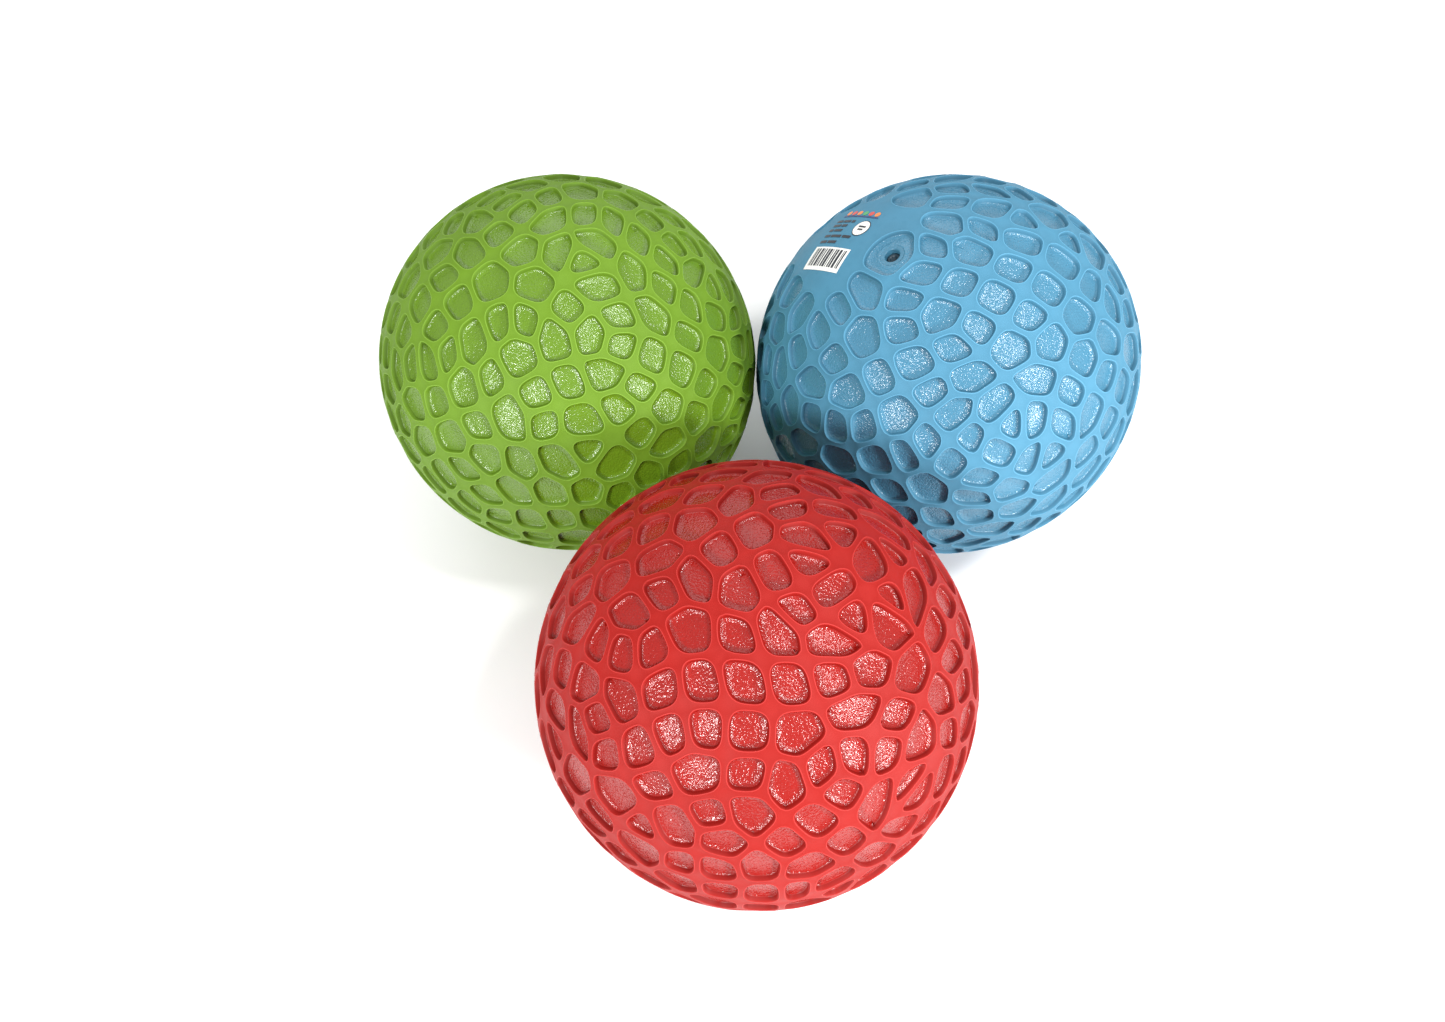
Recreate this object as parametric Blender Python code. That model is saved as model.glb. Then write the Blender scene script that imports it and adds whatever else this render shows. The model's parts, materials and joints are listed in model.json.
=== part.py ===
"""A set of three inflatable play balls that stand in a triangle, almost touching.

Every ball is a hollow skin with a valve in it. The valve is a soft insert, held in the
skin by a flange, and a tapered plug pushed into the insert. A thin printed patch lies on
the skin beside the valve. +Z is up, the red ball is in front (-Y), and the origin is on
the floor under the middle of the set's box.
"""
import math

import bmesh
import bpy
from mathutils import Matrix, Vector

# Driving dimensions, in metres
BALL_RADIUS = 0.108
BALL_SPACING = 0.2164          # between the centres of neighbouring balls
FLAT_SPOT_RADIUS = 0.014       # where a ball's own weight flattens it on the floor
WALL = 0.0028                  # skin thickness
GAP = 0.0003                   # between two pieces that touch

HOUSING_RADIUS = 0.012         # thickened part of the skin around the valve
HOUSING_DEPTH = 0.0070         # below the ball's surface
INSERT_RADIUS = 0.0060
INSERT_TOP = 0.0026            # below the ball's surface, like the next ones
INSERT_BOTTOM = 0.0165
FLANGE_RADIUS = 0.0100
FLANGE_THICKNESS = 0.0020
BORE_TOP_RADIUS = 0.00375
BORE_BOTTOM_RADIUS = 0.0030
PLUG_TOP = 0.0050
PLUG_BOTTOM = 0.0175
PLUG_DIMPLE = 0.0010           # shallow hollow in the plug's head

LABEL_WIDTH = 0.033
LABEL_HEIGHT = 0.043
LABEL_CORNER = 0.003
LABEL_THICKNESS = 0.0003
LABEL_DISTANCE = 0.0379        # from the valve's axis, along the skin

BALL_SEGMENTS = 40             # around the valve's axis
OUTER_STEPS = 19               # from the valve to the far side
INNER_STEPS = 11
VALVE_SEGMENTS = 24
LABEL_STEPS = 6

CENTRE_HEIGHT = math.sqrt(BALL_RADIUS ** 2 - FLAT_SPOT_RADIUS ** 2)
HALF_DEPTH = BALL_SPACING * math.sqrt(3) / 4

# Each ball: its centre on the floor plan, the azimuth and elevation of its valve, the
# turn about the valve's axis that sets where the label lies, and its colour.
BALLS = {
    "red": ((0.0, -HALF_DEPTH), (-50, -30, -90), (0.610, 0.054, 0.042)),
    "green": ((-BALL_SPACING / 2, HALF_DEPTH), (140, 12, -90), (0.238, 0.434, 0.061)),
    "blue": ((BALL_SPACING / 2, HALF_DEPTH), (-179, 66.5, -41.5), (0.122, 0.387, 0.584)),
}


def clear_scene():
    for old in list(bpy.data.objects):
        bpy.data.objects.remove(old, do_unlink=True)


def plastic(name, colour, roughness):
    material = bpy.data.materials.new(name)
    material.use_nodes = True
    shader = material.node_tree.nodes["Principled BSDF"]
    shader.inputs["Base Color"].default_value = (*colour, 1.0)
    shader.inputs["Roughness"].default_value = roughness
    shader.inputs["Metallic"].default_value = 0.0
    return material


def finish_object(name, mesh, material, frame):
    """A named object in the ball's own frame, shaded smooth up to its real edges."""
    mesh.normal_update()
    data = bpy.data.meshes.new(name)
    mesh.to_mesh(data)
    mesh.free()
    data.shade_smooth()
    data.set_sharp_from_angle(angle=math.radians(35))
    data.materials.append(material)
    piece = bpy.data.objects.new(name, data)
    bpy.context.scene.collection.objects.link(piece)
    piece.parent = frame
    return piece


def turn(profile, segments):
    """Turn a closed outline of (radius, height) points about the local Z axis."""
    mesh = bmesh.new()
    corners = [mesh.verts.new((radius, 0.0, height)) for radius, height in profile]
    edges = [mesh.edges.new(pair) for pair in zip(corners, corners[1:])]
    if profile[0][0] > 0.0:
        edges.append(mesh.edges.new((corners[-1], corners[0])))
    bmesh.ops.spin(mesh, geom=corners + edges, cent=(0, 0, 0), axis=(0, 0, 1),
                   angle=math.tau, steps=segments, use_merge=True)
    bmesh.ops.remove_doubles(mesh, verts=mesh.verts[:], dist=1e-6)
    bmesh.ops.recalc_face_normals(mesh, faces=mesh.faces[:])
    return mesh


def arc_points(radius, first_angle, last_angle, steps):
    """Points on a circle about the ball's centre, with angles measured from the valve's axis."""
    points = []
    for step in range(steps + 1):
        angle = first_angle + (last_angle - first_angle) * step / steps
        across = max(radius * math.sin(angle), 0.0)
        points.append((across, radius * math.cos(angle)))
    return points


def shell(name, material, frame, floor_point, floor_normal):
    """The skin: one turned wall with the valve's hole and housing, and its flat spot."""
    hole = INSERT_RADIUS + GAP
    inner = BALL_RADIUS - WALL
    outside = arc_points(BALL_RADIUS, math.asin(hole / BALL_RADIUS), math.pi, OUTER_STEPS)
    inside = arc_points(inner, math.pi, math.asin(HOUSING_RADIUS / inner) + 0.03, INNER_STEPS)
    outside[-1] = (0.0, -BALL_RADIUS)
    inside[0] = (0.0, -inner)
    housing_floor = BALL_RADIUS - HOUSING_DEPTH
    housing = [(HOUSING_RADIUS, housing_floor), (hole, housing_floor)]
    mesh = turn_wall(outside, inside + housing)
    cut_edges = bmesh.ops.bisect_plane(
        mesh, geom=mesh.verts[:] + mesh.edges[:] + mesh.faces[:], dist=1e-7,
        plane_co=floor_point, plane_no=floor_normal, clear_outer=True)["geom_cut"]
    rim = [part for part in cut_edges if isinstance(part, bmesh.types.BMEdge)]
    bmesh.ops.contextual_create(mesh, geom=rim)
    bmesh.ops.recalc_face_normals(mesh, faces=mesh.faces[:])
    return finish_object(name, mesh, material, frame)


def turn_wall(outside, inside):
    """Turn a wall whose outer and inner lines both end on the axis, closed at the hole."""
    mesh = bmesh.new()
    outer = [mesh.verts.new((radius, 0.0, height)) for radius, height in outside]
    inner = [mesh.verts.new((radius, 0.0, height)) for radius, height in inside]
    edges = [mesh.edges.new(pair) for pair in zip(outer, outer[1:])]
    edges += [mesh.edges.new(pair) for pair in zip(inner, inner[1:])]
    edges.append(mesh.edges.new((inner[-1], outer[0])))
    bmesh.ops.spin(mesh, geom=outer + inner + edges, cent=(0, 0, 0), axis=(0, 0, 1),
                   angle=math.tau, steps=BALL_SEGMENTS, use_merge=True)
    bmesh.ops.remove_doubles(mesh, verts=mesh.verts[:], dist=1e-6)
    return mesh


def valve_insert(name, material, frame):
    """The soft sleeve that holds the plug, with a flange under the skin's housing."""
    top = BALL_RADIUS - INSERT_TOP
    bottom = BALL_RADIUS - INSERT_BOTTOM
    flange_top = BALL_RADIUS - HOUSING_DEPTH - GAP
    flange_bottom = flange_top - FLANGE_THICKNESS
    edge = 0.0004
    profile = [
        (BORE_TOP_RADIUS + edge, top),
        (INSERT_RADIUS - edge, top),
        (INSERT_RADIUS, top - edge),
        (INSERT_RADIUS, flange_top),
        (FLANGE_RADIUS, flange_top),
        (FLANGE_RADIUS, flange_bottom),
        (INSERT_RADIUS, flange_bottom - FLANGE_THICKNESS),
        (INSERT_RADIUS - edge, bottom),
        (BORE_BOTTOM_RADIUS, bottom),
        (BORE_TOP_RADIUS, top - edge),
    ]
    return finish_object(name, turn(profile, VALVE_SEGMENTS), material, frame)


def bore_radius(depth):
    """The insert's tapered bore, at a depth below the ball's surface."""
    along = (depth - INSERT_TOP) / (INSERT_BOTTOM - INSERT_TOP)
    return BORE_TOP_RADIUS + (BORE_BOTTOM_RADIUS - BORE_TOP_RADIUS) * along


def valve_plug(name, material, frame):
    """The tapered stopper. It pulls out along the valve's axis."""
    clearance = GAP + 0.0001
    head = bore_radius(PLUG_TOP) - clearance
    foot = bore_radius(INSERT_BOTTOM) - clearance
    edge = 0.0004
    top = BALL_RADIUS - PLUG_TOP
    bottom = BALL_RADIUS - PLUG_BOTTOM
    profile = [
        (0.0, top - PLUG_DIMPLE),
        (head * 0.45, top - PLUG_DIMPLE),
        (head * 0.65, top),
        (head - edge, top),
        (head, top - edge),
        (foot, bottom + 2 * edge),
        (foot - 2 * edge, bottom),
        (0.0, bottom),
    ]
    return finish_object(name, turn(profile, VALVE_SEGMENTS), material, frame)


def label_print(name, material, frame):
    """A thin patch with rounded corners that follows the skin beside the valve."""
    mesh = bmesh.new()
    half_width = LABEL_WIDTH / 2
    half_height = LABEL_HEIGHT / 2
    corners = [(-half_width, -half_height), (half_width, -half_height),
               (half_width, half_height), (-half_width, half_height)]
    mesh.faces.new([mesh.verts.new((x, y, 0.0)) for x, y in corners])
    bmesh.ops.bevel(mesh, geom=mesh.verts[:], offset=LABEL_CORNER, segments=4,
                    affect="VERTICES", profile=0.5)
    for step in range(1, LABEL_STEPS):
        share = step / LABEL_STEPS - 0.5
        for place, normal in (((share * LABEL_WIDTH, 0, 0), (1, 0, 0)),
                              ((0, share * LABEL_HEIGHT, 0), (0, 1, 0))):
            bmesh.ops.bisect_plane(mesh, geom=mesh.verts[:] + mesh.edges[:] + mesh.faces[:],
                                   dist=1e-7, plane_co=place, plane_no=normal)
    grown = bmesh.ops.extrude_face_region(mesh, geom=mesh.faces[:])["geom"]
    lifted = [part for part in grown if isinstance(part, bmesh.types.BMVert)]
    bmesh.ops.translate(mesh, verts=lifted, vec=(0, 0, LABEL_THICKNESS))
    for vert in mesh.verts:
        vert.co = on_skin(vert.co.x, vert.co.y, GAP + vert.co.z)
    bmesh.ops.recalc_face_normals(mesh, faces=mesh.faces[:])
    return finish_object(name, mesh, material, frame)


def on_skin(right, up, height):
    """Wrap a point of the label round the ball. The print reads towards the valve."""
    distance = math.hypot(right, up)
    across = Vector((-right, -up, 0.0)).normalized() if distance > 0 else Vector((1, 0, 0))
    angle = distance / BALL_RADIUS
    place = Vector((0, 0, math.cos(angle))) + across * math.sin(angle)
    lean = Matrix.Rotation(LABEL_DISTANCE / BALL_RADIUS, 3, "Y")
    return lean @ place * (BALL_RADIUS + height)


def ball_frame(name, place, valve):
    """An empty at the ball's centre. Its local Z axis is the valve's axis."""
    azimuth, elevation, spin = (math.radians(angle) for angle in valve)
    frame = bpy.data.objects.new(name, None)
    bpy.context.scene.collection.objects.link(frame)
    frame.matrix_world = (Matrix.Translation((*place, CENTRE_HEIGHT))
                          @ Matrix.Rotation(azimuth, 4, "Z")
                          @ Matrix.Rotation(math.pi / 2 - elevation, 4, "Y")
                          @ Matrix.Rotation(spin, 4, "Z"))
    return frame


def ball(colour_name, place, valve, colour):
    frame = ball_frame(colour_name + "_ball_frame", place, valve)
    to_frame = frame.matrix_world.inverted()
    floor_point = to_frame @ Vector((*place, 0.0))
    floor_normal = to_frame.to_3x3() @ Vector((0, 0, -1))
    skin = plastic(colour_name + "_pvc", colour, 0.35)
    dark = plastic(colour_name + "_valve", tuple(0.55 * part for part in colour), 0.5)
    ink = plastic(colour_name + "_print", (0.80, 0.80, 0.78), 0.6)
    shell(colour_name + "_shell", skin, frame, floor_point, floor_normal)
    valve_insert(colour_name + "_valve_insert", skin, frame)
    valve_plug(colour_name + "_valve_plug", dark, frame)
    label_print(colour_name + "_label_print", ink, frame)


clear_scene()
for ball_name, (ball_place, ball_valve, ball_colour) in BALLS.items():
    ball(ball_name, ball_place, ball_valve, ball_colour)
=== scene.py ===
"""A set of three textured inflatable balls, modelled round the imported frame.

Every ball gets a moulded skin with recessed cells, a soft valve insert, a valve plug and
a plain printed label. The sizes are in metres, +Z is up, and the red ball is in front.
"""
import cmath
import json
import math

import bmesh
import bpy
from bpy.props import FloatProperty, FloatVectorProperty, IntProperty, PointerProperty
from bpy.props import StringProperty
from bpy.types import Operator, Panel, PropertyGroup
from mathutils import Matrix, Vector
from mathutils.kdtree import KDTree


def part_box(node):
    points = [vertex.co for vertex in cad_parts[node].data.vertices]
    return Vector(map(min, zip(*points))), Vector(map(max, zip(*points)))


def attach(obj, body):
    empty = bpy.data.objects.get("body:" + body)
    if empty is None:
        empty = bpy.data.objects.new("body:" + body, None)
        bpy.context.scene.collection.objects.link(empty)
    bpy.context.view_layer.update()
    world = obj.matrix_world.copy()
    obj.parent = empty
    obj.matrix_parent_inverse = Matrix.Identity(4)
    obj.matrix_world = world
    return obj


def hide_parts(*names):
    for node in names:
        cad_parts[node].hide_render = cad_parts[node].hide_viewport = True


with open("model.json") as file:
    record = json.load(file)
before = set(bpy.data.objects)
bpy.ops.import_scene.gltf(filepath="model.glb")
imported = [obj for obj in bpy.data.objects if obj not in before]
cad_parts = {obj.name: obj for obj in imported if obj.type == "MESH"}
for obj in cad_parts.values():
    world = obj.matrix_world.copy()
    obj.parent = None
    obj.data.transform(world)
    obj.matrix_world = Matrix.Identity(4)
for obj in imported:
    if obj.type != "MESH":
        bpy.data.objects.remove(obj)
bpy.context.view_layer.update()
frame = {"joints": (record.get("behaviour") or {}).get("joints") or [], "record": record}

bl_info = {
    "name": "Textured ball set",
    "version": (1, 0, 0),
    "blender": (4, 5, 0),
    "location": "View3D > Sidebar > Ball Set",
    "description": "Models three textured inflatable balls with their valves and labels",
    "category": "Object",
}

BALL_NAMES = ("red", "green", "blue")
PATTERN_SEEDS = {"red": 3, "green": 7, "blue": 5}

# the cells' network
SPHERE_POINTS = 642            # corners of an ico sphere with four subdivisions
SCATTER = 0.003                # how far the first corners are moved at random
SPREAD_ROUNDS = 8              # times that the scattered corners are spread out
FIRST_ROUNDS = 6               # rounds of evening out before edges are closed
LAST_ROUNDS = 40               # rounds of evening out after it
CLOSED_EDGES = ((0.012, 4), (0.010, 3))    # longest edge closed, fewest corners a cell keeps
MOST_SPOKES = 5                # ridges that may meet at a point
AREA_GAIN = 0.6                # part of the way to its own area that a cell goes in a round

# the moulded skin
LIP = 0.00012                  # height of the raised lip round a cell
CELL_DEPTH = 0.0025            # from the ball's surface to the deepest floors
CELL_PROFILE = ((0.00032, -LIP), (0.00030, 0.00026), (0.00034, 0.00172),
                (0.00034, 0.00052), (0.0026, 0.00002))    # steps inward and down: lip to floor
CROWN = 0.00012                # rise of a floor's middle
GAP_REACH = 0.008              # how far a cell looks for its neighbours
TIGHT_GAP = 0.0004             # more than a ridge, and no more growth there
PANEL_MIDDLE = (-0.004, 0.005)    # of the smooth panel, right and up from the label's centre
LABEL_CLEARANCE = 0.023        # from the label's centre to the nearest cell's corner
PANEL_GAP = 0.004              # from a cell's outline to the panel's own corners
PANEL_SHARE = 0.93             # part of the panel's radius within which a cell's middle goes
PANEL_REACH = 1.4              # panel's radii to the last of the panel's own corners
VALVE_CELL_COSINE = 0.988      # cells nearer to the valve's axis stay
CELL_SPAN = 0.03               # no cell is wider
CELL_CORE = 0.8                # part of a cell's reach that surely lies inside it
CROWDED_SIDE = (0, -0.5, 0.87)    # where every ball's cells are a little smaller

# the valve
RING_ROUND = 0.0005            # steps of the boss's rounded edge
BOSS_DROP = 0.0002             # from the boss's top to its foot
SLEEVE_GAP = 0.00004           # between the skin's hole and the sleeve
HOLE_DEPTH = 0.0160            # of the skin's hole
LIP_ROUND = 0.0008             # rounded mouth of the sleeve's bore
FLANGE_DEPTH = 0.0073          # of the flange's upper face
FLANGE_EDGE = 0.0020           # height of the flange's straight edge
FLANGE_HEIGHT = 0.0040         # of the whole flange
SLEEVE_TAPER = 0.0004          # that the sleeve narrows by below its flange
PLUG_GAP = 0.0004              # between the plug and the bore
PLUG_ROUND = 0.0005            # rounded edge of the plug's head
ARC_STEPS = 4                  # steps of a rounded edge

# the label
INK_LAYER = 0.00006            # from one printed layer to the next
INK_THICKNESS = 0.00008
INK_COLOURS = {"white_ink": (0.85, 0.85, 0.82), "dark_ink": (0.012, 0.016, 0.025),
               "orange_ink": (0.75, 0.22, 0.05), "green_ink": (0.07, 0.35, 0.12),
               "red_ink": (0.60, 0.06, 0.05), "navy_ink": (0.02, 0.04, 0.15)}

# the studio: name, direction from the set, distance, size and power
STUDIO_LIGHTS = (("left_light", (-0.48, -0.70, 0.53), 1.5, 0.24, 18.5),
                 ("right_light", (0.73, -0.57, 0.36), 1.5, 0.24, 20.0),
                 ("top_light", (0.43, -0.08, 0.90), 1.5, 0.24, 14.0),
                 ("back_light", (-0.1, 0.80, 0.60), 1.8, 1.6, 10.0))
LIGHT_AIM = (0, 0, 0.1)
SKY_STRENGTH = 0.62
FLOOR_SIZE = 12.0


# ---------------------------------------------------------------- settings

class SkinSettings(PropertyGroup):
    """Sizes of the moulded skin and its cells."""
    radius: FloatProperty(name="Ball radius", description="To the top of the ridges",
                          default=0.108, unit="LENGTH")
    flat_spot: FloatProperty(name="Flat spot radius", description="Pressed flat by the floor",
                             default=0.014, unit="LENGTH")
    cells: IntProperty(name="Cells", description="Recessed cells on a ball, about",
                       default=400, min=100, max=600)
    crowding: FloatProperty(name="Pole crowding", default=0.14, min=0.0, max=0.5,
                            description="How much smaller the cells are at the poles")
    evenness: FloatProperty(name="Evenness", description="Pull of the cells towards regular shapes",
                            default=0.25, min=0.0, max=1.0, subtype="FACTOR")
    triangle_share: FloatProperty(name="Triangle share", description="Size of three-sided cells",
                                  default=1.40, min=0.5, max=2.0)
    many_share: FloatProperty(name="Five-sided share", description="Size of cells with more sides",
                              default=0.97, min=0.5, max=2.0)
    valve_share: FloatProperty(name="Valve cell share", description="Size of the valve's cell",
                               default=1.9, min=0.5, max=3.0)
    ridge: FloatProperty(name="First gap", description="Between two cells before smoothing",
                         default=0.0005, unit="LENGTH")
    softness: FloatProperty(name="Corner softness", description="Rounding of a cell's corners",
                            default=0.28, min=0.0, max=0.4, subtype="FACTOR")
    rounding: IntProperty(name="Rounding", description="Times that the outlines are smoothed",
                          default=6, min=1, max=12)
    ridge_width: FloatProperty(name="Ridge width", description="Between two smoothed outlines",
                               default=0.0017, unit="LENGTH")
    swell: FloatProperty(name="Swell", description="How far the smoothed outlines may grow",
                         default=0.0015, unit="LENGTH")
    clear_radius: FloatProperty(name="Smooth panel radius", description="Left clear for the label",
                                default=0.029, unit="LENGTH")


class ValveSettings(PropertyGroup):
    """Sizes of the valve's insert and plug, as depths below the ball's surface."""
    insert_radius: FloatProperty(name="Insert radius", description="Outside of the soft sleeve",
                                 default=0.0060, unit="LENGTH")
    insert_top: FloatProperty(name="Insert top", description="Depth of the sleeve's lip",
                              default=0.0026, unit="LENGTH")
    insert_bottom: FloatProperty(name="Insert bottom", description="Depth of the sleeve's end",
                                 default=0.0165, unit="LENGTH")
    bore_top: FloatProperty(name="Bore mouth radius", description="Bore radius at the lip",
                            default=0.00375, unit="LENGTH")
    bore_bottom: FloatProperty(name="Bore end radius", description="Bore radius at the end",
                               default=0.0030, unit="LENGTH")
    boss_radius: FloatProperty(name="Boss radius", description="Low ring round the insert",
                               default=0.0078, unit="LENGTH")
    flange_radius: FloatProperty(name="Flange radius", description="Flange under the skin",
                                 default=0.0100, unit="LENGTH")
    plug_top: FloatProperty(name="Plug top", description="Depth of the plug's head",
                            default=0.0050, unit="LENGTH")
    plug_bottom: FloatProperty(name="Plug bottom", description="Depth of the plug's end",
                               default=0.0175, unit="LENGTH")


class LabelSettings(PropertyGroup):
    """Sizes of the printed label beside the valve."""
    distance: FloatProperty(name="Distance", description="From the valve's axis, along the skin",
                            default=0.0379, unit="LENGTH")
    film: FloatProperty(name="Ink film", description="Height of the ink above the skin",
                        default=0.00012, unit="LENGTH")


class ColourSettings(PropertyGroup):
    """Colours of the soft plastic and the ink."""
    red: FloatVectorProperty(name="Red", description="Colour of the red ball's plastic",
                             default=(0.300, 0.0050, 0.0020), size=3, subtype="COLOR")
    green: FloatVectorProperty(name="Green", description="Colour of the green ball's plastic",
                               default=(0.108, 0.210, 0.0085), size=3, subtype="COLOR")
    blue: FloatVectorProperty(name="Blue", description="Colour of the blue ball's plastic",
                              default=(0.056, 0.200, 0.310), size=3, subtype="COLOR")


class StageSettings(PropertyGroup):
    """The camera and the studio lights."""
    lens: FloatProperty(name="Lens", description="Focal length in millimetres", default=23.6,
                        unit="CAMERA")
    camera: FloatVectorProperty(name="Camera place", description="Where the camera stands",
                                default=(-0.0059, -0.2367, 0.5653), size=3, unit="LENGTH")
    elevation: FloatProperty(name="Camera tilt", description="How far the camera looks down",
                             default=math.radians(62.75), subtype="ANGLE")
    heading: FloatProperty(name="Camera heading", description="Turn of the view from +Y to +X",
                           default=math.radians(-2.93), subtype="ANGLE")
    roll: FloatProperty(name="Camera roll", description="Turn about the line of sight",
                        default=math.radians(-2.1), subtype="ANGLE")


# ---------------------------------------------------------------- hand tools

def clear_selection():
    """Leave edit mode and select nothing."""
    if bpy.context.object and bpy.context.object.mode != "OBJECT":
        bpy.ops.object.mode_set(mode="OBJECT")
    bpy.ops.object.select_all(action="DESELECT")


def take_up(piece):
    """Select one piece and nothing else."""
    clear_selection()
    piece.select_set(True)
    bpy.context.view_layer.objects.active = piece


def edit(piece, select="SELECT", mode="VERT"):
    """Open a piece in edit mode with everything, or nothing, selected."""
    take_up(piece)
    bpy.ops.object.mode_set(mode="EDIT")
    bpy.ops.mesh.select_mode(type=mode)
    bpy.ops.mesh.select_all(action=select)


def close_edit():
    """Go back to object mode, so that the mesh can be read."""
    bpy.ops.object.mode_set(mode="OBJECT")


def pick(piece, elements, wanted, mode):
    """Select some of a piece's vertices, edges or faces and stay in edit mode."""
    edit(piece, select="DESELECT", mode=mode)
    close_edit()
    getattr(piece.data, elements).foreach_set("select", wanted)
    bpy.ops.object.mode_set(mode="EDIT")


def pull_rings(profile):
    """Pull the selected ring out through the (radius, height) points of an outline."""
    radius, height = profile[0]
    for after, up in profile[1:]:
        bpy.ops.mesh.extrude_edges_move(TRANSFORM_OT_translate={"value": (0, 0, up - height)})
        bpy.ops.transform.resize(value=(after / radius, after / radius, 1.0),
                                 center_override=(0, 0, up))
        radius, height = after, up


def add_modifier(piece, kind, **values):
    """Add a modifier, set it, and apply it."""
    take_up(piece)
    bpy.ops.object.modifier_add(type=kind)
    modifier = piece.modifiers[-1]
    for name, value in values.items():
        setattr(modifier, name, value)
    bpy.ops.object.modifier_apply(modifier=modifier.name)


def to_ball(piece, radius):
    """Push every corner of a piece onto the ball's surface."""
    close_edit()
    add_modifier(piece, "CAST", cast_type="SPHERE", factor=1.0, use_radius_as_size=False,
                 size=radius, radius=0.0)


def settle(piece, matrix):
    """Put a piece where it belongs, and keep its place in its mesh."""
    take_up(piece)
    piece.matrix_world = matrix
    bpy.ops.object.transform_apply(location=True, rotation=True, scale=True)


# ---------------------------------------------------------------- the frame

def ball_matrix(name):
    """The ball's own axes: Z runs out through the valve, and X leans towards the label."""
    skin = bpy.context.scene.skin_settings
    mount = next(m for m in frame["record"]["mounts"] if m["name"] == "rest_" + name)
    height = math.sqrt(skin.radius ** 2 - skin.flat_spot ** 2)
    centre = Vector((mount["pos_m"][0], mount["pos_m"][1], height))
    joint = next(j for j in frame["joints"] if j["name"] == name + "_plug_pull")
    out = Vector(joint["axis"]).normalized()
    low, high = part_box(name + "_label_print")
    label = (Vector(low) + Vector(high)) / 2 - centre
    across = (label - out * label.dot(out)).normalized()
    turn = Matrix((across, out.cross(across), out)).transposed()
    return Matrix.Translation(centre) @ turn.to_4x4()


def finish_piece(piece, name, body, node):
    """Name a piece, check that it is closed, and put it on its body."""
    shape = bmesh.new()
    shape.from_mesh(piece.data)
    loose = sum(len(edge.link_faces) != 2 for edge in shape.edges)
    shape.free()
    if loose:
        raise RuntimeError(f"{name} has {loose} open edges")
    piece.name = name
    piece.data.name = name
    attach(piece, body)
    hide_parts(node)


# ---------------------------------------------------------------- the cells' network

def scattered_points(seed):
    """A ball of unevenly scattered corners, joined by triangles."""
    skin = bpy.context.scene.skin_settings
    clear_selection()
    bpy.ops.mesh.primitive_ico_sphere_add(subdivisions=4, radius=skin.radius)
    ball = bpy.context.object
    edit(ball)
    bpy.ops.transform.vertex_random(offset=SCATTER, uniform=1.0, normal=0.0, seed=seed)
    close_edit()
    add_modifier(ball, "DECIMATE", ratio=skin.cells / SPHERE_POINTS)
    for _ in range(SPREAD_ROUNDS):
        edit(ball)
        bpy.ops.mesh.vertices_smooth(factor=0.5, repeat=2)
        to_ball(ball, skin.radius)
        edit(ball)
        bpy.ops.mesh.convex_hull(join_triangles=False)
    close_edit()
    return ball


def to_cells(ball):
    """Swap the triangles for the cells around their corners."""
    group = bpy.data.node_groups.new("cells_from_points", "GeometryNodeTree")
    group.interface.new_socket("Geometry", in_out="INPUT", socket_type="NodeSocketGeometry")
    group.interface.new_socket("Geometry", in_out="OUTPUT", socket_type="NodeSocketGeometry")
    start = group.nodes.new("NodeGroupInput")
    dual = group.nodes.new("GeometryNodeDualMesh")
    end = group.nodes.new("NodeGroupOutput")
    group.links.new(start.outputs[0], dual.inputs[0])
    group.links.new(dual.outputs[0], end.inputs[0])
    add_modifier(ball, "NODES", node_group=group)
    bpy.data.node_groups.remove(group)
    to_ball(ball, bpy.context.scene.skin_settings.radius)


def edges_to_close(mesh, limit, fewest):
    """Short edges between cells with corners to spare, no two of them sharing a corner."""
    corners = {face.index: len(face.vertices) for face in mesh.polygons}
    cells = {}
    for face in mesh.polygons:
        for key in face.edge_keys:
            cells.setdefault(key, []).append(face.index)
    spokes = [0] * len(mesh.vertices)
    for edge in mesh.edges:
        for end in edge.vertices:
            spokes[end] += 1
    length = {key: (mesh.vertices[key[0]].co - mesh.vertices[key[1]].co).length for key in cells}
    used = set()
    chosen = set()
    for key in sorted(cells, key=length.get):
        crowded = spokes[key[0]] + spokes[key[1]] > MOST_SPOKES + 2
        bare = min(corners[cell] for cell in cells[key]) <= fewest
        if length[key] > limit or used & set(key) or crowded or bare:
            continue
        chosen.add(key)
        used |= set(key)
        for cell in cells[key]:
            corners[cell] -= 1
    return chosen


def close_edges(ball, limit, fewest):
    """Shrink short edges to points, so that more than three ridges can meet."""
    chosen = edges_to_close(ball.data, limit, fewest)
    wanted = [edge.key in chosen for edge in ball.data.edges]
    pick(ball, "edges", wanted, "EDGE")
    bpy.ops.mesh.edge_collapse()
    to_ball(ball, bpy.context.scene.skin_settings.radius)


def even_out(ball, rounds, evenness, big_cell, pole):
    """Ease the cells towards regular shapes of even size, a little larger at the equator."""
    skin = bpy.context.scene.skin_settings
    shares = {3: skin.triangle_share, 4: 1.0}
    shape = bmesh.new()
    shape.from_mesh(ball.data)
    for _ in range(rounds):
        share = {}
        for face in shape.faces:
            outward = face.calc_center_median().normalized()
            band = 1.0 + 4 * skin.crowding * (1 - outward.dot(pole) ** 2)
            size = shares.get(len(face.verts), skin.many_share)
            share[face] = band * (skin.valve_share if face.index == big_cell else size)
        whole = sum(share.values())
        target = {corner: [] for corner in shape.verts}
        for face, part in share.items():
            area = part / whole * 4 * math.pi * skin.radius ** 2
            for corner, place in zip(face.verts, regular_fit(face, area, evenness)):
                target[corner].append(place)
        for corner, places in target.items():
            corner.co = sum(places, Vector()).normalized() * skin.radius
    shape.to_mesh(ball.data)
    shape.free()


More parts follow.
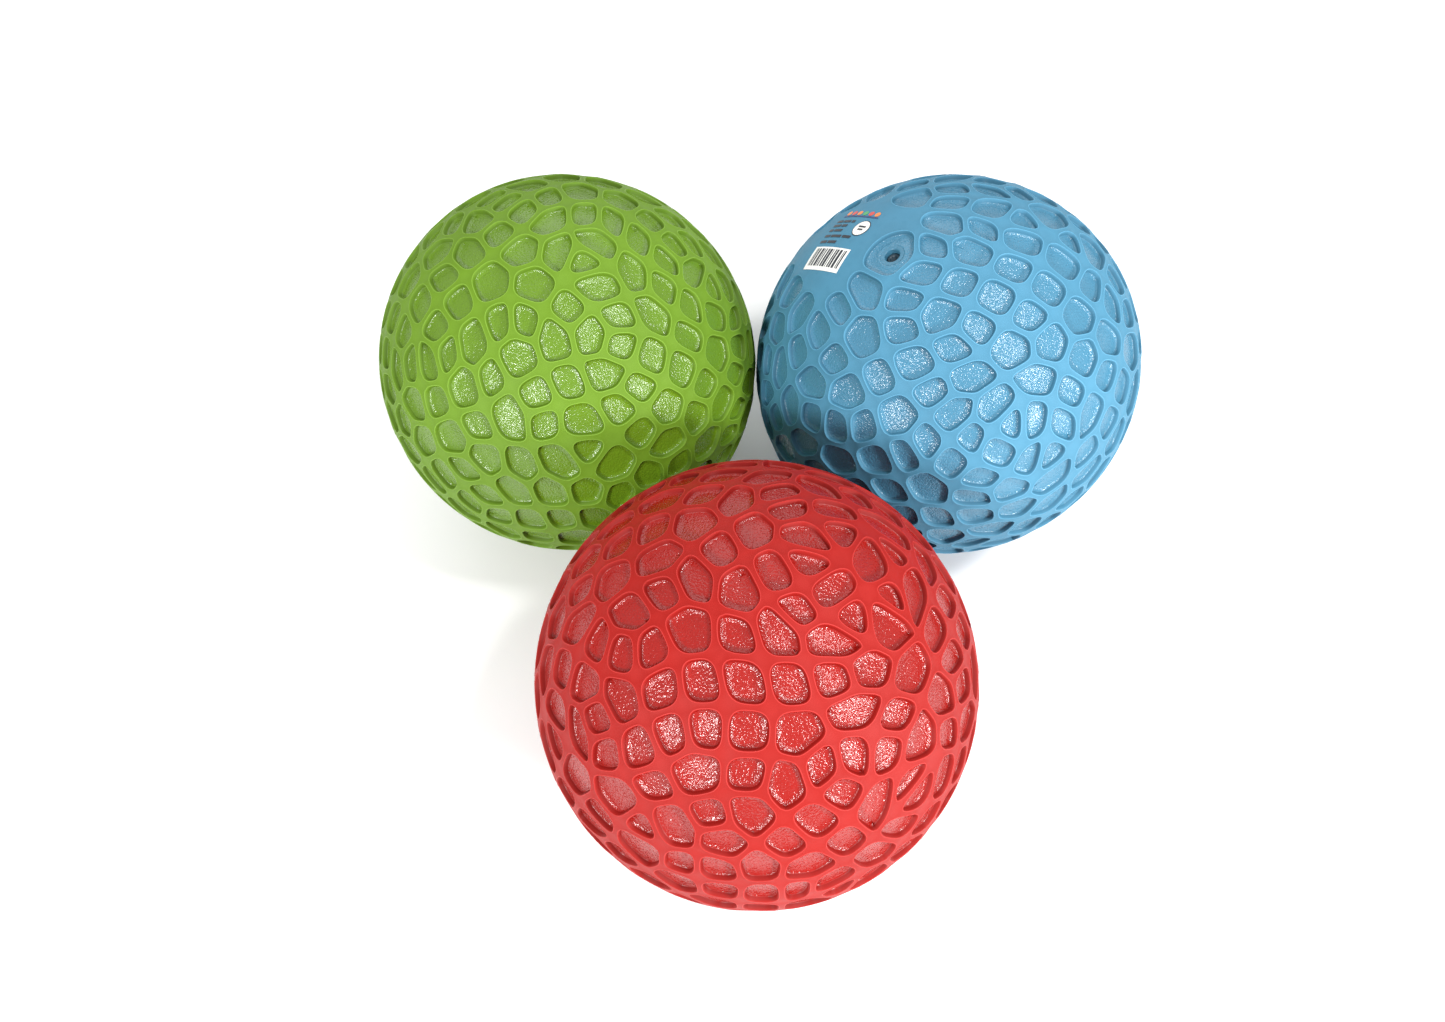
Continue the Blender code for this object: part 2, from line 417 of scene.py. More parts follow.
def regular_fit(face, area, evenness):
    """Where a cell's corners would go, part of the way to a regular shape of the given area."""
    skin = bpy.context.scene.skin_settings
    outward = face.calc_center_median().normalized()
    across = outward.orthogonal().normalized()
    up = outward.cross(across)
    sides = len(face.verts)
    flat = [complex(corner.co.dot(across), corner.co.dot(up)) for corner in face.verts]
    middle = sum(flat) / sides
    reach = math.sqrt(2 * area / (sides * math.sin(math.tau / sides)))
    spokes = [cmath.rect(1, math.tau * step / sides) for step in range(sides)]
    turn = sum((place - middle) / spoke for place, spoke in zip(flat, spokes))
    turn /= abs(turn)
    growth = 1 + AREA_GAIN * (math.sqrt(area / face.calc_area()) - 1)
    places = []
    for place, spoke in zip(flat, spokes):
        own = (place - middle) * growth
        even = spoke * turn * reach
        flat_place = middle + own * (1 - evenness) + even * evenness
        height = math.sqrt(skin.radius ** 2 - abs(flat_place) ** 2)
        places.append(across * flat_place.real + up * flat_place.imag + outward * height)
    return places


def cell_network(name, pole):
    """The network of cells in the ball's own axes, with one large cell round the valve."""
    skin = bpy.context.scene.skin_settings
    ball = scattered_points(PATTERN_SEEDS[name])
    to_cells(ball)
    even_out(ball, FIRST_ROUNDS, 0.0, None, pole)
    for limit, fewest in CLOSED_EDGES:
        close_edges(ball, limit, fewest)
    outward = [face.center.normalized() for face in ball.data.polygons]
    valve_cell = max(range(len(outward)), key=lambda index: outward[index].z)
    even_out(ball, LAST_ROUNDS, skin.evenness, valve_cell, pole)
    middle = ball.data.polygons[valve_cell].center.normalized()
    settle(ball, middle.rotation_difference(Vector((0, 0, 1))).to_matrix().to_4x4())
    return ball


# ---------------------------------------------------------------- the moulded skin

def on_skin(right, up, height=0.0):
    """A place on the ball, from the label's centre. The print reads towards the valve."""
    skin = bpy.context.scene.skin_settings
    label = bpy.context.scene.label_settings
    distance = math.hypot(right, up)
    across = Vector((-right, -up, 0.0)).normalized() if distance > 0 else Vector((1, 0, 0))
    angle = distance / skin.radius
    place = Vector((0, 0, math.cos(angle))) + across * math.sin(angle)
    lean = Matrix.Rotation(label.distance / skin.radius, 3, "Y")
    return lean @ place * (skin.radius + height)


def clear_panel(ball):
    """Take away the cells where the label goes."""
    skin = bpy.context.scene.skin_settings
    middle = on_skin(*PANEL_MIDDLE)
    label = on_skin(0, 0)
    wanted = []
    for face in ball.data.polygons:
        near = (face.center - middle).length < skin.clear_radius * PANEL_SHARE
        corners = [ball.data.vertices[index].co for index in face.vertices]
        overlaps = any((corner - label).length < LABEL_CLEARANCE for corner in corners)
        wanted.append((near or overlaps) and face.center.normalized().z < VALVE_CELL_COSINE)
    pick(ball, "polygons", wanted, "FACE")
    bpy.ops.mesh.delete(type="FACE")
    close_edit()


def cell_outlines(ball):
    """Turn each cell into a closed line with soft corners, set in from its neighbours."""
    skin = bpy.context.scene.skin_settings
    edit(ball, mode="FACE")
    bpy.ops.mesh.inset(thickness=skin.ridge / 2, use_individual=True)
    bpy.ops.mesh.select_all(action="INVERT")
    bpy.ops.mesh.delete(type="FACE")
    bpy.ops.mesh.select_all(action="SELECT")
    bpy.ops.mesh.delete(type="ONLY_FACE")
    edit(ball)
    bpy.ops.mesh.subdivide(number_cuts=1)
    bpy.ops.mesh.vertices_smooth(factor=skin.softness, repeat=1)
    bpy.ops.mesh.subdivide(number_cuts=1)
    bpy.ops.mesh.vertices_smooth(factor=0.5, repeat=1)
    bpy.ops.mesh.subdivide(number_cuts=1)
    bpy.ops.mesh.vertices_smooth(factor=0.5, repeat=skin.rounding)
    to_ball(ball, skin.radius)


def line_gaps(mesh, number):
    """How far every corner is from the nearest other closed line."""
    tree = KDTree(len(mesh.vertices))
    for corner in mesh.vertices:
        tree.insert(corner.co, corner.index)
    tree.balance()
    gaps = []
    for corner in mesh.vertices:
        own = number[corner.index]
        near = tree.find_range(corner.co, GAP_REACH)
        gaps.append(min((far for _, other, far in near if number[other] != own),
                        default=GAP_REACH))
    return gaps


def even_ridges(ball):
    """Grow every closed line as a whole until a ridge is left, then ease the tight places.

    A line grows by its usual gap, which two fifths of its corners don't reach.
    """
    skin = bpy.context.scene.skin_settings
    number = [value.value for value in ball.data.attributes["outline"].data]
    lines = {}
    for index, line in enumerate(number):
        lines.setdefault(line, []).append(index)
    corners = ball.data.vertices
    for whole in (True, False, True, False):
        gaps = line_gaps(ball.data, number)
        for line in lines.values():
            middle = sum((corners[index].co for index in line), Vector()) / len(line)
            usual = sorted(gaps[index] for index in line)[len(line) * 2 // 5]
            for index in line:
                gap = usual if whole else min(gaps[index], skin.ridge_width + TIGHT_GAP)
                step = max(-skin.swell, min((gap - skin.ridge_width) / 2, skin.swell))
                corners[index].co += (corners[index].co - middle).normalized() * step
    edit(ball)
    bpy.ops.mesh.vertices_smooth(factor=0.5, repeat=2)
    to_ball(ball, skin.radius)


def number_outlines(mesh):
    """Give every corner the number of the closed line it is on. Loose corners get none."""
    shape = bmesh.new()
    shape.from_mesh(mesh)
    number = shape.verts.layers.int.new("outline")
    count = 0
    for start in shape.verts:
        if start[number] or not start.link_edges:
            continue
        count += 1
        start[number] = count
        ends = [start]
        while ends:
            corner = ends.pop()
            for edge in corner.link_edges:
                after = edge.other_vert(corner)
                if not after[number]:
                    after[number] = count
                    ends.append(after)
    shape.to_mesh(mesh)
    shape.free()


def add_panel_points(ball):
    """Loose corners on the smooth panel, so that it follows the ball's round shape."""
    skin = bpy.context.scene.skin_settings
    middle = on_skin(*PANEL_MIDDLE)
    outline = [corner.co.copy() for corner in ball.data.vertices]
    near_panel = [place for place in outline if (place - middle).length < 2 * skin.clear_radius]
    first_new = len(outline)
    edit(ball, select="DESELECT")
    bpy.ops.mesh.primitive_ico_sphere_add(subdivisions=5, radius=skin.radius)
    close_edit()
    unwanted = []
    for corner in ball.data.vertices:
        if corner.index < first_new:
            unwanted.append(False)
            continue
        outside = (corner.co - middle).length > PANEL_REACH * skin.clear_radius
        crowded = outside or min((corner.co - place).length for place in near_panel) < PANEL_GAP
        buried = not outside and inside_a_cell(corner.co, ball.data, first_new)
        unwanted.append(crowded or buried)
    pick(ball, "vertices", unwanted, "VERT")
    bpy.ops.mesh.delete(type="VERT")
    close_edit()
    loose = [corner.index >= first_new for corner in ball.data.vertices]
    pick(ball, "vertices", loose, "VERT")
    bpy.ops.mesh.delete(type="EDGE_FACE")
    close_edit()


def inside_a_cell(place, mesh, count):
    """True where a place lies within one of the closed lines."""
    number = mesh.attributes["outline"].data
    around = {}
    for index in range(count):
        if (mesh.vertices[index].co - place).length < CELL_SPAN:
            around.setdefault(number[index].value, []).append(mesh.vertices[index].co)
    for corners in around.values():
        middle = sum(corners, Vector()) / len(corners)
        reach = max((corner - middle).length for corner in corners)
        if (place - middle).length < reach * CELL_CORE:
            return True
    return False


def press_cells(ball):
    """Close the surface, then sink every cell in rounded steps."""
    mesh = ball.data
    edit(ball)
    bpy.ops.mesh.convex_hull(join_triangles=False)
    close_edit()
    pick(ball, "polygons", faces_in_cells(mesh), "FACE")
    bpy.ops.mesh.dissolve_faces()
    close_edit()
    pick(ball, "polygons", faces_in_cells(mesh), "FACE")
    for inward, down in CELL_PROFILE:
        bpy.ops.mesh.inset(thickness=inward, depth=-down, use_individual=True,
                           use_even_offset=False)
    close_edit()
    floors = [face.select for face in mesh.polygons]
    valve_floor = max((face for face in mesh.polygons if face.select),
                      key=lambda face: face.center.normalized().z).index
    floors[valve_floor] = False
    make_valve_hole(ball, valve_floor, floors)


def faces_in_cells(mesh):
    """Which faces have all their corners on one closed line."""
    number = [value.value for value in mesh.attributes["outline"].data]
    chosen = []
    for face in mesh.polygons:
        owners = {number[index] for index in face.vertices}
        chosen.append(len(owners) == 1 and 0 not in owners)
    return chosen


def make_valve_hole(ball, valve_floor, floors):
    """Raise the floors' middles, then bore the valve's hole through its own cell's floor."""
    skin = bpy.context.scene.skin_settings
    valve = bpy.context.scene.valve_settings
    mesh = ball.data
    rim = list(mesh.polygons[valve_floor].vertices)
    pick(ball, "polygons", floors, "FACE")
    bpy.ops.mesh.poke(offset=CROWN)
    close_edit()
    rim_set = set(rim)
    wanted = [set(face.vertices) == rim_set for face in mesh.polygons]
    pick(ball, "polygons", wanted, "FACE")
    bpy.ops.mesh.delete(type="ONLY_FACE")
    close_edit()
    start = len(mesh.vertices)
    edit(ball, select="DESELECT", mode="VERT")
    level = skin.radius - valve.insert_top
    bpy.ops.mesh.primitive_circle_add(vertices=len(rim), radius=valve.boss_radius,
                                      location=(0, 0, level - BOSS_DROP))
    close_edit()
    wanted = [corner.index >= start or corner.index in rim_set for corner in mesh.vertices]
    pick(ball, "vertices", wanted, "VERT")
    bpy.ops.mesh.select_mode(type="EDGE")
    bpy.ops.mesh.bridge_edge_loops()
    close_edit()
    wanted = [corner.index >= start for corner in mesh.vertices]
    pick(ball, "vertices", wanted, "VERT")
    bpy.ops.mesh.select_mode(type="EDGE")
    hole = valve.insert_radius + SLEEVE_GAP
    pull_rings(((valve.boss_radius, level - BOSS_DROP),
                (valve.boss_radius - RING_ROUND, level - BOSS_DROP / 4),
                (valve.boss_radius - 2 * RING_ROUND, level),
                (hole, level), (hole, skin.radius - HOLE_DEPTH)))
    bpy.ops.mesh.edge_face_add()
    close_edit()


def flatten_under(piece):
    """Press what would be below the floor flat, as the ball's weight does."""
    wanted = [corner.co.z < 0 for corner in piece.data.vertices]
    pick(piece, "vertices", wanted, "VERT")
    bpy.ops.transform.resize(value=(1, 1, 0), center_override=(0, 0, 0))
    close_edit()


# ---------------------------------------------------------------- materials

def new_material(name):
    """A node material, with its tree and its shader."""
    material = bpy.data.materials.new(name)
    material.use_nodes = True
    return material, material.node_tree, material.node_tree.nodes["Principled BSDF"]


def node(tree, kind, **values):
    """Add a node and set it."""
    made = tree.nodes.new(kind)
    for name, value in values.items():
        setattr(made, name, value)
    return made


def ramp(tree, source, stops):
    """A colour ramp over a value, its stops given as (place, colour or grey)."""
    made = node(tree, "ShaderNodeValToRGB")
    points = made.color_ramp.elements
    while len(points) < len(stops):
        points.new(0.5)
    for point, (place, value) in zip(points, stops):
        point.position = place
        point.color = (*value, 1.0) if not isinstance(value, float) else (value,) * 3 + (1.0,)
    tree.links.new(source, made.inputs["Fac"])
    return made.outputs["Color"]


def scaled(colour, factor):
    """Make a colour lighter or darker."""
    return tuple(min(part * factor, 1.0) for part in colour)


def painted_highlight(colour, share):
    """Mix a colour towards a paler one of the same hue, for a painted highlight."""
    return tuple(part + (min(part * 2.2 + 0.06, 1.0) - part) * share for part in colour)


def skin_plastic(name, colour, centre):
    """Soft plastic: matt ridges with a painted highlight along the paler rounded edge, painted
    shade on the cell walls and floors, and grained glossy cell floors.
    """
    radius = bpy.context.scene.skin_settings.radius
    material, tree, shader = new_material(name)
    place = node(tree, "ShaderNodeTexCoord")
    centred = node(tree, "ShaderNodeMapping")
    centred.inputs["Location"].default_value = [-part for part in centre]
    tree.links.new(place.outputs["Object"], centred.inputs["Vector"])
    reach = node(tree, "ShaderNodeVectorMath", operation="LENGTH")
    tree.links.new(centred.outputs["Vector"], reach.inputs[0])
    depth = node(tree, "ShaderNodeMapRange")
    depth.inputs["From Min"].default_value = radius + LIP
    depth.inputs["From Max"].default_value = radius - CELL_DEPTH
    tree.links.new(reach.outputs["Value"], depth.inputs["Value"])
    floor_mask = ramp(tree, depth.outputs["Result"], ((0.80, 0.0), (0.97, 1.0)))

    # Colour by depth: the paler stops at the top are a painted highlight along each cell's raised
    # lip and rounded edge.
    tint = ramp(tree, depth.outputs["Result"],
                ((0.0, painted_highlight(colour, 0.50)), (0.030, painted_highlight(colour, 0.35)), (0.042, colour),
                 (0.075, painted_highlight(colour, 0.06)), (0.20, scaled(colour, 0.90)),
                 # The darker stops are painted shade down the cell walls and on the recessed
                 # floors.
                 (0.75, scaled(colour, 0.78)), (0.96, scaled(colour, 0.86))))
    cloud = node(tree, "ShaderNodeTexNoise")
    cloud.inputs["Scale"].default_value = 28.0
    cloud.inputs["Detail"].default_value = 3.0
    tree.links.new(centred.outputs["Vector"], cloud.inputs["Vector"])
    grain = node(tree, "ShaderNodeTexNoise")
    grain.inputs["Scale"].default_value = 1050.0
    grain.inputs["Detail"].default_value = 1.0
    tree.links.new(centred.outputs["Vector"], grain.inputs["Vector"])
    stipple = node(tree, "ShaderNodeMath", operation="MULTIPLY_ADD")
    tree.links.new(grain.outputs["Fac"], stipple.inputs[0])
    tree.links.new(floor_mask, stipple.inputs[1])
    tree.links.new(cloud.outputs["Fac"], stipple.inputs[2])
    shade = node(tree, "ShaderNodeMapRange", clamp=False)
    shade.inputs["To Min"].default_value = 0.85
    shade.inputs["To Max"].default_value = 1.10
    tree.links.new(stipple.outputs["Value"], shade.inputs["Value"])
    patchy = node(tree, "ShaderNodeHueSaturation")
    tree.links.new(shade.outputs["Result"], patchy.inputs["Value"])
    tree.links.new(tint, patchy.inputs["Color"])
    tree.links.new(patchy.outputs["Color"], shader.inputs["Base Color"])

    gloss = ramp(tree, floor_mask, ((0.0, 0.62), (1.0, 0.22)))
    tree.links.new(gloss, shader.inputs["Roughness"])
    shine = ramp(tree, floor_mask, ((0.0, 0.25), (1.0, 0.60)))
    tree.links.new(shine, shader.inputs["Specular IOR Level"])

    fine = node(tree, "ShaderNodeTexNoise")
    fine.inputs["Scale"].default_value = 2600.0
    tree.links.new(centred.outputs["Vector"], fine.inputs["Vector"])
    grain_bump = node(tree, "ShaderNodeBump")
    grain_bump.inputs["Distance"].default_value = 0.00042
    tree.links.new(floor_mask, grain_bump.inputs["Strength"])
    tree.links.new(grain.outputs["Fac"], grain_bump.inputs["Height"])
    skin_bump = node(tree, "ShaderNodeBump")
    skin_bump.inputs["Distance"].default_value = 0.00003
    skin_bump.inputs["Strength"].default_value = 0.6
    tree.links.new(fine.outputs["Fac"], skin_bump.inputs["Height"])
    tree.links.new(grain_bump.outputs["Normal"], skin_bump.inputs["Normal"])
    tree.links.new(skin_bump.outputs["Normal"], shader.inputs["Normal"])
    return material


def soft_plastic(name, colour, roughness):
    """The valve's plain soft plastic, with a faint grain."""
    material, tree, shader = new_material(name)
    place = node(tree, "ShaderNodeTexCoord")
    grain = node(tree, "ShaderNodeTexNoise")
    grain.inputs["Scale"].default_value = 900.0
    tree.links.new(place.outputs["Object"], grain.inputs["Vector"])
    tint = ramp(tree, grain.outputs["Fac"],
                ((0.3, scaled(colour, 0.85)), (0.7, scaled(colour, 1.1))))
    tree.links.new(tint, shader.inputs["Base Color"])
    bump = node(tree, "ShaderNodeBump")
    bump.inputs["Distance"].default_value = 0.00005
    bump.inputs["Strength"].default_value = 0.5
    tree.links.new(grain.outputs["Fac"], bump.inputs["Height"])
    tree.links.new(bump.outputs["Normal"], shader.inputs["Normal"])
    shader.inputs["Roughness"].default_value = roughness
    return material


def ink(name, colour):
    """Printed ink, a little uneven where the skin shows through."""
    material, tree, shader = new_material(name)
    place = node(tree, "ShaderNodeTexCoord")
    wear = node(tree, "ShaderNodeTexNoise")
    wear.inputs["Scale"].default_value = 700.0
    wear.inputs["Detail"].default_value = 4.0
    tree.links.new(place.outputs["Object"], wear.inputs["Vector"])
    tint = ramp(tree, wear.outputs["Fac"], ((0.3, scaled(colour, 0.9)), (0.7, colour)))
    tree.links.new(tint, shader.inputs["Base Color"])
    shader.inputs["Roughness"].default_value = 0.45
    return material


# ---------------------------------------------------------------- turned pieces

def turn_piece(profile, segments, first_cap, last_cap):
    """Turn an outline of (radius, height) points by pulling a circle from ring to ring."""
    clear_selection()
    radius, height = profile[0]
    bpy.ops.mesh.primitive_circle_add(vertices=segments, radius=radius,
                                      location=(0, 0, height),
                                      fill_type="NGON" if first_cap else "NOTHING")
    piece = bpy.context.object
    settle(piece, piece.matrix_world.copy())
    edit(piece, mode="EDGE")
    pull_rings(profile)
    if last_cap:
        bpy.ops.mesh.edge_face_add()
    bpy.ops.mesh.select_all(action="SELECT")
    bpy.ops.mesh.remove_doubles(threshold=1e-6)
    bpy.ops.mesh.normals_make_consistent(inside=False)
    close_edit()
    return piece


def smooth(piece, angle):
    """Shade a piece smooth, apart from edges sharper than an angle in degrees."""
    take_up(piece)
    bpy.ops.object.shade_smooth_by_angle(angle=math.radians(angle))


def bore_at(depth):
    """Radius of the sleeve's tapered bore at a depth."""
    valve = bpy.context.scene.valve_settings
    along = (depth - valve.insert_top) / (valve.insert_bottom - valve.insert_top)
    return valve.bore_top + (valve.bore_bottom - valve.bore_top) * along


def insert_profile():
    """The sleeve with its rounded mouth, and the flange under the skin."""
    skin = bpy.context.scene.skin_settings
    valve = bpy.context.scene.valve_settings
    top = skin.radius - valve.insert_top
    bottom = skin.radius - valve.insert_bottom
    flange = skin.radius - FLANGE_DEPTH
    lip = []
    for step in range(ARC_STEPS + 1):
        angle = math.pi / 2 * step / ARC_STEPS
        lip.append((valve.bore_top + LIP_ROUND * (1 - math.cos(angle)),
                    top - LIP_ROUND * (1 - math.sin(angle))))
    lip.append((valve.insert_radius, top))
    outside = [(valve.insert_radius, flange), (valve.flange_radius, flange),
               (valve.flange_radius, flange - FLANGE_EDGE),
               (valve.insert_radius, flange - FLANGE_HEIGHT),
               (valve.insert_radius - SLEEVE_TAPER, bottom), (valve.bore_bottom, bottom)]
    return lip + outside + lip[:1]


def plug_profile():
    """The tapered plug, with a dimple in its head."""
    skin = bpy.context.scene.skin_settings
    valve = bpy.context.scene.valve_settings
    head = bore_at(valve.plug_top) - PLUG_GAP
    foot = bore_at(valve.insert_bottom) - PLUG_GAP
    top = skin.radius - valve.plug_top
    bottom = skin.radius - valve.plug_bottom
    profile = [(0.0006, top - 0.0010), (head * 0.42, top - 0.0009), (head * 0.55, top - 0.0003),
               (head * 0.68, top)]
    for step in range(ARC_STEPS + 1):
        angle = math.pi / 2 * step / ARC_STEPS
        profile.append((head - PLUG_ROUND + PLUG_ROUND * math.sin(angle),
                        top - PLUG_ROUND + PLUG_ROUND * math.cos(angle)))
    profile += [(foot, bottom + 0.0008), (foot - 0.0006, bottom)]
    return profile


# ---------------------------------------------------------------- the label

def film(piece_name, shapes):
    """Flat shapes in the label's plane: (kind, right, up, width, height, ink, layer)."""
    clear_selection()
    bpy.ops.mesh.primitive_plane_add(size=1.0)
    piece = bpy.context.object
    piece.name = piece_name
    edit(piece)
    bpy.ops.mesh.delete(type="VERT")
    close_edit()
    first = 0
    inks = []
    for kind, right, up, width, height, colour, layer in shapes:
        edit(piece, select="DESELECT")
        place = (right, up, layer * INK_LAYER)
        if kind == "disc":
            bpy.ops.mesh.primitive_circle_add(vertices=40, radius=width / 2, location=place,
                                              fill_type="NGON")
        else:
            bpy.ops.mesh.primitive_plane_add(size=1.0, location=place)
            bpy.ops.transform.resize(value=(width, height, 1), center_override=place)
            bpy.ops.mesh.subdivide(number_cuts=max(1, min(8, round(max(width, height) / 0.004))))
        close_edit()
        inks += [colour] * (len(piece.data.polygons) - first)
        first = len(piece.data.polygons)
    piece.data.polygons.foreach_set("material_index", inks)
    return piece


class Inks:
    """Numbers of the label's inks."""
    WHITE, DARK, ORANGE, GREEN, RED, NAVY = range(6)


def label_shapes():
    """A row of plain colour spots over a line, bars for writing, a disc and a bar code."""
    shapes = []
    spots = (Inks.ORANGE, Inks.RED, Inks.ORANGE, Inks.GREEN, Inks.RED, Inks.ORANGE)
    for index, colour in enumerate(spots):
        shapes.append(("disc", -0.0112 + 0.0047 * index, 0.0198, 0.0034, 0, colour, 0))
    shapes.append(("bar", 0.0006, 0.0172, 0.0285, 0.0009, Inks.NAVY, 0))
    lines = ((0.0131, (0.0052, 0.0060, 0.0028)), (0.0098, (0.0070, 0.0044)),
             (0.0063, (0.0036, 0.0070)), (0.0022, (0.0050, 0.0088, 0.0066)),
             (-0.0018, (0.0060, 0.0074)))
    for up, words in lines:
        right = -0.0150
        for width in words:
            shapes.append(("bar", right + width / 2, up, width, 0.0017, Inks.DARK, 0))
            right += width + 0.0011
    shapes.append(("disc", 0.0101, 0.0089, 0.0108, 0, Inks.DARK, 0))
    shapes.append(("disc", 0.0101, 0.0089, 0.0098, 0, Inks.WHITE, 1))
    shapes.append(("bar", 0.0101, 0.0099, 0.0052, 0.0010, Inks.DARK, 2))
    shapes.append(("bar", 0.0101, 0.0079, 0.0036, 0.0010, Inks.DARK, 2))
    shapes.append(("bar", 0.0, -0.0124, 0.0298, 0.0143, Inks.WHITE, 0))
    right = -0.0125
    step = 0
    while right < 0.0125:
        width = 0.00050 + 0.00042 * (step * 5 % 4)
        shapes.append(("bar", right + width / 2, -0.0118, width, 0.0108, Inks.DARK, 1))
        right += width + 0.00055 + 0.00030 * (step * 7 % 3)
        step += 1
    return shapes


# ---------------------------------------------------------------- operators

class BALLSET_OT_skin(Operator):
    """Model one ball's moulded skin"""
    bl_idname = "ball_set.skin"
    bl_label = "Moulded Skin"
    ball: StringProperty(name="Ball", description="Colour name of the ball", default="red")

    def execute(self, context):
        matrix = ball_matrix(self.ball)
        pole = (matrix.to_3x3().inverted() @ Vector(CROWDED_SIDE)).normalized()
        piece = cell_network(self.ball, pole)
        clear_panel(piece)
        cell_outlines(piece)
        number_outlines(piece.data)
        even_ridges(piece)
        add_panel_points(piece)
        press_cells(piece)
        settle(piece, matrix)
        flatten_under(piece)
        take_up(piece)
        bpy.ops.object.shade_smooth()
        piece.data.attributes.remove(piece.data.attributes["outline"])
        colour = getattr(context.scene.colour_settings, self.ball)
        piece.data.materials.append(
            skin_plastic(self.ball + "_pvc", tuple(colour), matrix.translation))
        finish_piece(piece, self.ball + "_textured_skin", self.ball + "_ball",
                     self.ball + "_shell")
        return {"FINISHED"}


class BALLSET_OT_valve_insert(Operator):
    """Model one ball's soft valve insert"""
    bl_idname = "ball_set.valve_insert"
    bl_label = "Valve Insert"
    ball: StringProperty(name="Ball", description="Colour name of the ball", default="red")

    def execute(self, context):
        piece = turn_piece(insert_profile(), 64, False, False)
        smooth(piece, 40)
        settle(piece, ball_matrix(self.ball))
        colour = getattr(context.scene.colour_settings, self.ball)
        piece.data.materials.append(
            soft_plastic(self.ball + "_insert_pvc", scaled(colour, 0.85), 0.4))
        finish_piece(piece, self.ball + "_soft_insert", self.ball + "_ball",
                     self.ball + "_valve_insert")
        return {"FINISHED"}


class BALLSET_OT_valve_plug(Operator):
    """Model one ball's valve plug"""
    bl_idname = "ball_set.valve_plug"
    bl_label = "Valve Plug"
    ball: StringProperty(name="Ball", description="Colour name of the ball", default="red")

    def execute(self, context):
        piece = turn_piece(plug_profile(), 48, True, True)
        smooth(piece, 40)
        settle(piece, ball_matrix(self.ball))
        # The plug's plastic is the ball's colour at 0.13: partly a darker plug and partly painted
        # shade deep in the bore.
        colour = getattr(context.scene.colour_settings, self.ball)
        piece.data.materials.append(
            soft_plastic(self.ball + "_plug_pvc", scaled(colour, 0.13), 0.5))
        finish_piece(piece, self.ball + "_tapered_plug", self.ball + "_plug",
                     self.ball + "_valve_plug")
        return {"FINISHED"}


class BALLSET_OT_label(Operator):
    """Model one ball's printed label"""
    bl_idname = "ball_set.label"
    bl_label = "Printed Label"
    ball: StringProperty(name="Ball", description="Colour name of the ball", default="red")

    def execute(self, context):
        height = context.scene.label_settings.film
        piece = film(self.ball + "_print", label_shapes())
        for corner in piece.data.vertices:
            corner.co = on_skin(corner.co.x, corner.co.y, height + corner.co.z)
        add_modifier(piece, "SOLIDIFY", thickness=INK_THICKNESS, offset=-1.0)
        settle(piece, ball_matrix(self.ball))
        for name, colour in INK_COLOURS.items():
            material = bpy.data.materials.get(name) or ink(name, colour)
            piece.data.materials.append(material)
        finish_piece(piece, self.ball + "_ink_label", self.ball + "_ball",
                     self.ball + "_label_print")
        return {"FINISHED"}


class BALLSET_OT_stage(Operator):
    """Make the floor, the studio lights and the camera"""
    bl_idname = "ball_set.stage"
    bl_label = "Stage"

    def execute(self, context):
        scene = context.scene
        clear_selection()
        bpy.ops.mesh.primitive_plane_add(size=FLOOR_SIZE, location=(0, 0, 0))
        floor = bpy.context.object
        floor.name = "studio_floor"
        material, tree, shader = new_material("studio_floor_paint")
        shader.inputs["Base Color"].default_value = (0.92, 0.92, 0.92, 1)
        shader.inputs["Roughness"].default_value = 0.9
        floor.data.materials.append(material)
        world = scene.world or bpy.data.worlds.new("studio")
        scene.world = world
        world.use_nodes = True
        sky = world.node_tree.nodes["Background"]
        sky.inputs["Color"].default_value = (1, 1, 1, 1)
        sky.inputs["Strength"].default_value = SKY_STRENGTH
        for light in STUDIO_LIGHTS:
            soft_light(*light)
        add_camera(scene)
        scene.view_settings.view_transform = "Standard"
        return {"FINISHED"}


def soft_light(name, direction, distance, size, power):
    """A square soft box that faces the middle of the set."""
    data = bpy.data.lights.new(name, "AREA")
    data.energy = power
    data.size = size
    light = bpy.data.objects.new(name, data)
    bpy.context.scene.collection.objects.link(light)
    out = Vector(direction).normalized()
    light.location = Vector(LIGHT_AIM) + out * distance
    light.rotation_euler = out.to_track_quat("Z", "Y").to_euler()


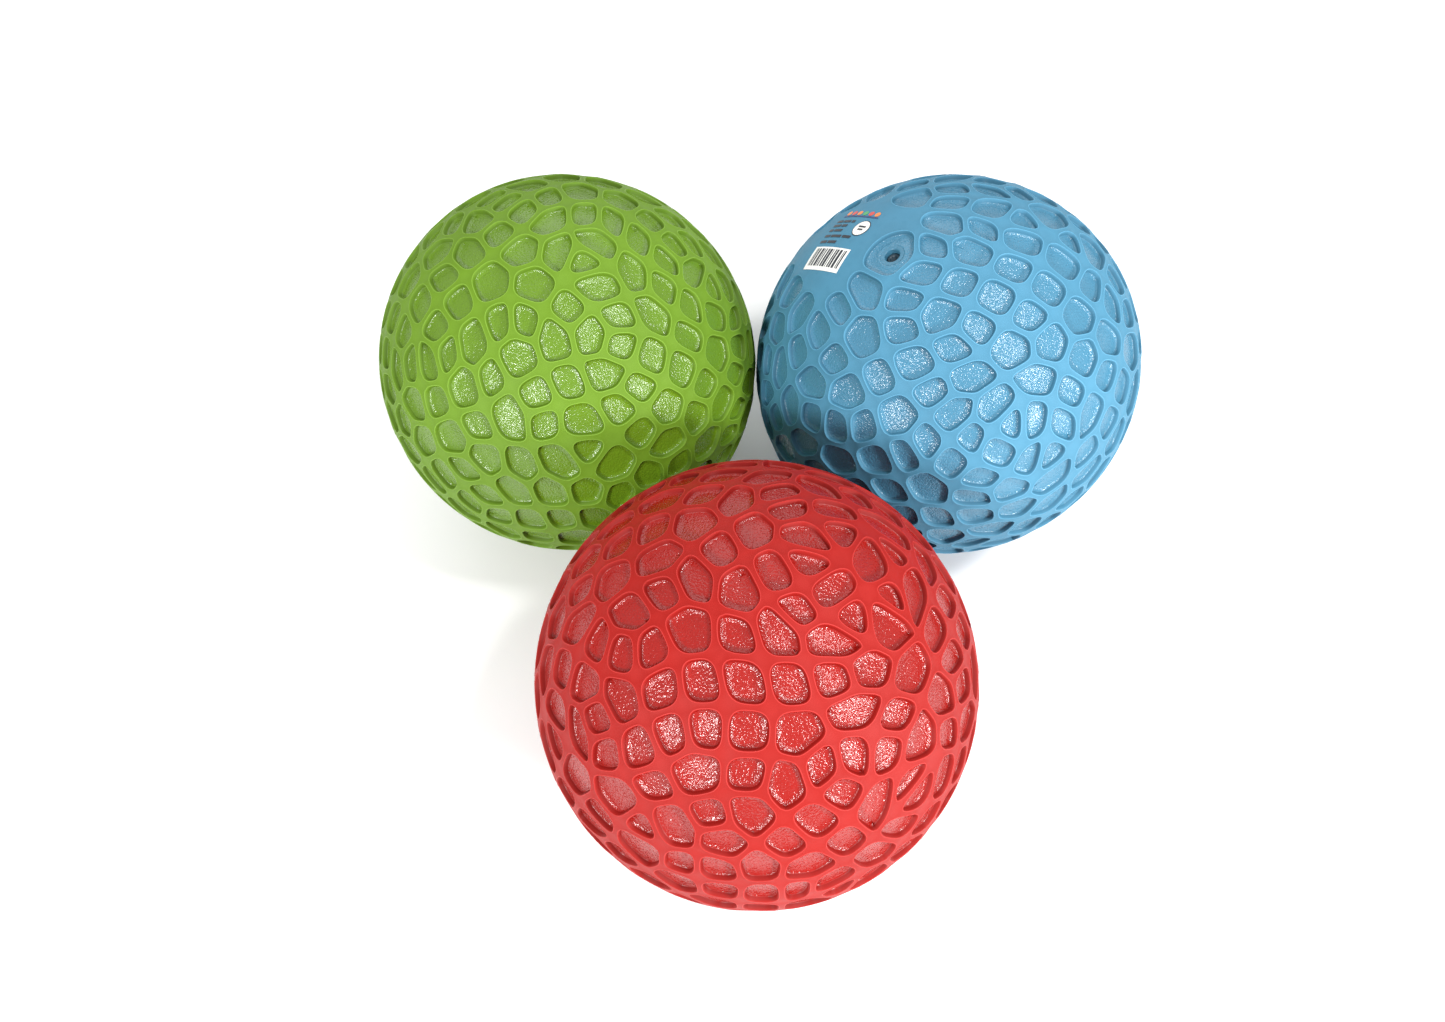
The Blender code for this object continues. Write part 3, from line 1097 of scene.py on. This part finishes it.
def add_camera(scene):
    """The camera, where it sees the red ball in front."""
    stage = scene.stage_settings
    data = bpy.data.cameras.new("studio_camera")
    data.lens = stage.lens
    data.sensor_width = 36.0
    data.dof.use_dof = False
    camera = bpy.data.objects.new("studio_camera", data)
    scene.collection.objects.link(camera)
    camera.location = stage.camera
    down = math.pi / 2 - stage.elevation
    camera.matrix_world = (Matrix.Translation(stage.camera)
                           @ Matrix.Rotation(-stage.heading, 4, "Z")
                           @ Matrix.Rotation(down, 4, "X")
                           @ Matrix.Rotation(stage.roll, 4, "Z"))
    scene.camera = camera


# ---------------------------------------------------------------- panel and registration

class BALLSET_PT_panel(Panel):
    """Lists the steps that make the set"""
    bl_label = "Ball Set"
    bl_idname = "BALLSET_PT_panel"
    bl_space_type = "VIEW_3D"
    bl_region_type = "UI"
    bl_category = "Ball Set"

    def draw(self, context):
        layout = self.layout
        for settings in (context.scene.skin_settings, context.scene.colour_settings):
            for name in settings.__annotations__:
                layout.prop(settings, name)
        layout.operator(BALLSET_OT_stage.bl_idname)
        for step in PIECE_STEPS:
            for ball in BALL_NAMES:
                row = layout.operator(step.bl_idname, text=ball + ": " + step.bl_label)
                row.ball = ball


PIECE_STEPS = (BALLSET_OT_skin, BALLSET_OT_valve_insert, BALLSET_OT_valve_plug, BALLSET_OT_label)
SETTINGS = {"skin_settings": SkinSettings, "valve_settings": ValveSettings,
            "label_settings": LabelSettings, "colour_settings": ColourSettings,
            "stage_settings": StageSettings}
CLASSES = (*SETTINGS.values(), *PIECE_STEPS, BALLSET_OT_stage, BALLSET_PT_panel)


def register():
    for made in CLASSES:
        bpy.utils.register_class(made)
    for name, group in SETTINGS.items():
        setattr(bpy.types.Scene, name, PointerProperty(type=group))


def unregister():
    for name in SETTINGS:
        delattr(bpy.types.Scene, name)
    for made in reversed(CLASSES):
        bpy.utils.unregister_class(made)


def main():
    """Make the stage and the pieces of every ball."""
    register()
    bpy.ops.ball_set.stage()
    for ball in BALL_NAMES:
        bpy.ops.ball_set.skin(ball=ball)
        bpy.ops.ball_set.valve_insert(ball=ball)
        bpy.ops.ball_set.valve_plug(ball=ball)
        bpy.ops.ball_set.label(ball=ball)


if __name__ == "__main__":
    main()
